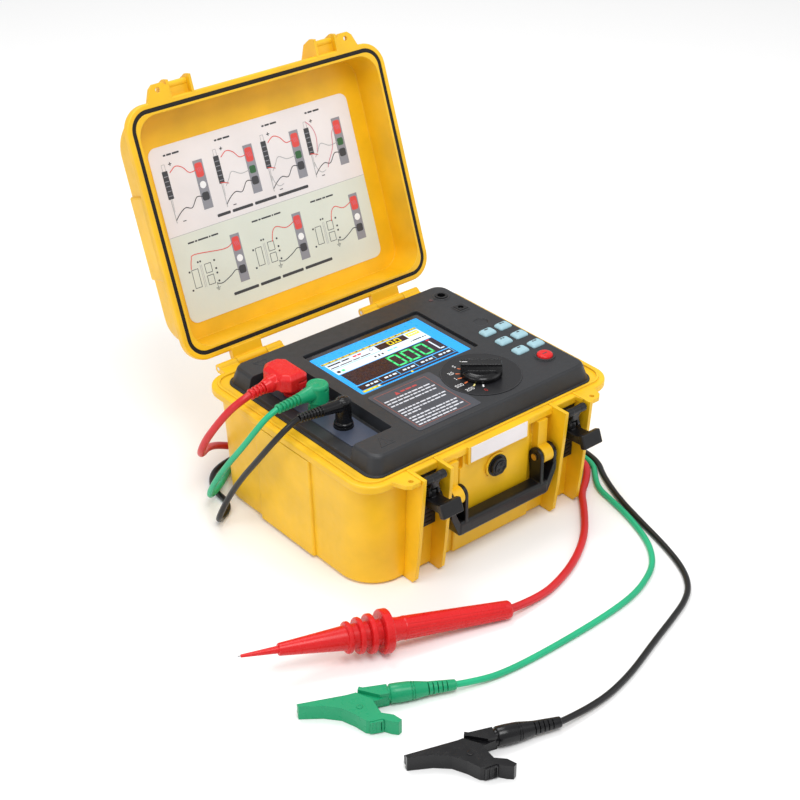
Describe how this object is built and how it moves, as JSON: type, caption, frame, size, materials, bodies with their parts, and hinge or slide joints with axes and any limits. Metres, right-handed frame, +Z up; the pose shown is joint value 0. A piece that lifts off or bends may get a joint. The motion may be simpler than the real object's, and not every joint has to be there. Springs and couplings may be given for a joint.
{
  "type": "insulation resistance tester",
  "caption": "Insulation resistance tester in a hinged carry case, with colour display, range selector, keys, plugged-in test leads, probe and crocodile clips.",
  "frame": {"origin": "on the floor under the centre of the case's rim", "axes": "+Z up, -Y towards the handle and latches at the front, +X to the right when facing the front"},
  "size_m": [0.5326, 0.6889, 0.4093],
  "materials": {
    "case_yellow": "satin moulded polypropylene",
    "panel_black": "fine textured",
    "black_plastic": "satin",
    "gasket_rubber": "matte",
    "white_card": "satin print film",
    "name_blank": "satin",
    "window_acrylic": "gloss",
    "display_frame": "satin",
    "label_film": "satin",
    "key_blue": "satin",
    "red_plastic": "semi gloss",
    "green_plastic": "semi gloss",
    "black_gloss": "semi gloss",
    "red_silicone": "satin silicone",
    "green_silicone": "satin silicone",
    "black_silicone": "satin silicone",
    "strip_blue_grey": "satin",
    "steel": "polished",
    "brass": "turned",
    "circuit_board": "solder resist",
    "cell_wrap": "shrink film",
    "module_shell": "potted resin",
    "silicone_mat": "matte",
    "led_lens": "gloss"
  },
  "bodies": {
    "case": {"base_shell": "case_yellow", "battery_pack": "cell_wrap", "black_clip_body": "black_gloss", "black_clip_connector": "black_gloss", "black_lead": "black_silicone", "black_plug": "black_gloss", "black_socket": "black_gloss", "board_posts": "brass", "clip_pins": "steel", "clip_springs": "steel", "control_panel": "panel_black", "dc_jack": "black_plastic", "dial_plate": "label_film", "display_module": "display_frame", "display_window": "window_acrylic", "green_clip_body": "green_plastic", "green_clip_connector": "green_plastic", "green_lead": "green_silicone", "green_plug": "green_plastic", "green_socket": "green_plastic", "handle_pins": "brass", "hinge_pins": "steel", "hv_module": "module_shell", "indicator_led": "led_lens", "info_label": "label_film", "keypad_mat": "silicone_mat", "latch_bracket_left": "black_plastic", "latch_bracket_right": "black_plastic", "latch_guards": "case_yellow", "latch_pins": "steel", "main_board": "circuit_board", "name_plate": "name_blank", "probe_body": "red_plastic", "probe_tip": "steel", "red_lead": "red_silicone", "red_plug": "red_plastic", "red_socket": "red_plastic", "round_port": "black_plastic", "selector_switch": "module_shell", "terminal_strip": "strip_blue_grey", "valve_body": "black_plastic"},
    "lid": {"lid_shell": "case_yellow", "lid_gasket": "gasket_rubber", "lid_card": "white_card"},
    "lever_right": {"latch_lever_right": "black_plastic"},
    "lever_left": {"latch_lever_left": "black_plastic"},
    "bail_right": {"latch_bail_right": "black_plastic"},
    "bail_left": {"latch_bail_left": "black_plastic"},
    "handle": {"carry_handle": "black_plastic"},
    "valve": {"valve_knob": "black_plastic"},
    "selector": {"selector_knob": "black_gloss"},
    "start": {"start_button": "red_plastic"},
    "green_jaw": {"green_clip_jaw": "green_plastic"},
    "black_jaw": {"black_clip_jaw": "black_gloss"},
    "key_1_left": {"key_1_left": "key_blue"},
    "key_1_right": {"key_1_right": "key_blue"},
    "key_2_left": {"key_2_left": "key_blue"},
    "key_2_right": {"key_2_right": "key_blue"},
    "key_3_left": {"key_3_left": "key_blue"},
    "key_3_right": {"key_3_right": "key_blue"}
  },
  "joints": [
    {"name": "lid_hinge", "type": "hinge", "parent": "case", "child": "lid", "pos_m": [0, 0.1484, 0.1262], "axis": [1, 0, 0], "range_deg": [0, 88]},
    {"name": "handle_pivot", "type": "hinge", "parent": "case", "child": "handle", "pos_m": [0, -0.1405, 0.081], "axis": [-1, 0, 0], "range_deg": [0, 100]},
    {"name": "valve_turn", "type": "hinge", "parent": "case", "child": "valve", "pos_m": [0, -0.1425, 0.09], "axis": [0, -1, 0], "range_deg": [0, 180]},
    {"name": "selector_turn", "type": "hinge", "parent": "case", "child": "selector", "pos_m": [0.0418, -0.0652, 0.15], "axis": [0, 0, 1], "range_deg": [-48, 116]},
    {"name": "start_press", "type": "slide", "parent": "case", "child": "start", "axis": [0, 0, -1], "range_m": [0, 0.0018], "stiffness_N_per_m": 500},
    {"name": "lever_right_hinge", "type": "hinge", "parent": "case", "child": "lever_right", "pos_m": [0.095, -0.142, 0.095], "axis": [1, 0, 0], "range_deg": [0, 75]},
    {"name": "bail_right_hinge", "type": "hinge", "parent": "lever_right", "child": "bail_right", "pos_m": [0.095, -0.147, 0.1055], "axis": [1, 0, 0], "range_deg": [-75, 0]},
    {"name": "lever_left_hinge", "type": "hinge", "parent": "case", "child": "lever_left", "pos_m": [-0.095, -0.142, 0.095], "axis": [1, 0, 0], "range_deg": [0, 75]},
    {"name": "bail_left_hinge", "type": "hinge", "parent": "lever_left", "child": "bail_left", "pos_m": [-0.095, -0.147, 0.1055], "axis": [1, 0, 0], "range_deg": [-75, 0]},
    {"name": "key_1_left_press", "type": "slide", "parent": "case", "child": "key_1_left", "axis": [0, 0, -1], "range_m": [0, 0.0012], "stiffness_N_per_m": 400},
    {"name": "key_1_right_press", "type": "slide", "parent": "case", "child": "key_1_right", "axis": [0, 0, -1], "range_m": [0, 0.0012], "stiffness_N_per_m": 400},
    {"name": "key_2_left_press", "type": "slide", "parent": "case", "child": "key_2_left", "axis": [0, 0, -1], "range_m": [0, 0.0012], "stiffness_N_per_m": 400},
    {"name": "key_2_right_press", "type": "slide", "parent": "case", "child": "key_2_right", "axis": [0, 0, -1], "range_m": [0, 0.0012], "stiffness_N_per_m": 400},
    {"name": "key_3_left_press", "type": "slide", "parent": "case", "child": "key_3_left", "axis": [0, 0, -1], "range_m": [0, 0.0012], "stiffness_N_per_m": 400},
    {"name": "key_3_right_press", "type": "slide", "parent": "case", "child": "key_3_right", "axis": [0, 0, -1], "range_m": [0, 0.0012], "stiffness_N_per_m": 400},
    {"name": "green_clip_hinge", "type": "hinge", "parent": "case", "child": "green_jaw", "pos_m": [-0.27896, -0.26136, 0.008], "axis": [0, 0, 1], "range_deg": [0, 25], "stiffness_Nm_per_rad": 0.08, "springref_deg": -20.05},
    {"name": "black_clip_hinge", "type": "hinge", "parent": "case", "child": "black_jaw", "pos_m": [-0.24348, -0.36822, 0.008], "axis": [0, 0, 1], "range_deg": [0, 25], "stiffness_Nm_per_rad": 0.08, "springref_deg": -20.05}
  ],
  "couplings": [
    {"joint": "bail_right_hinge", "follows": "lever_right_hinge", "ratio": -1},
    {"joint": "bail_left_hinge", "follows": "lever_left_hinge", "ratio": -1}
  ]
}
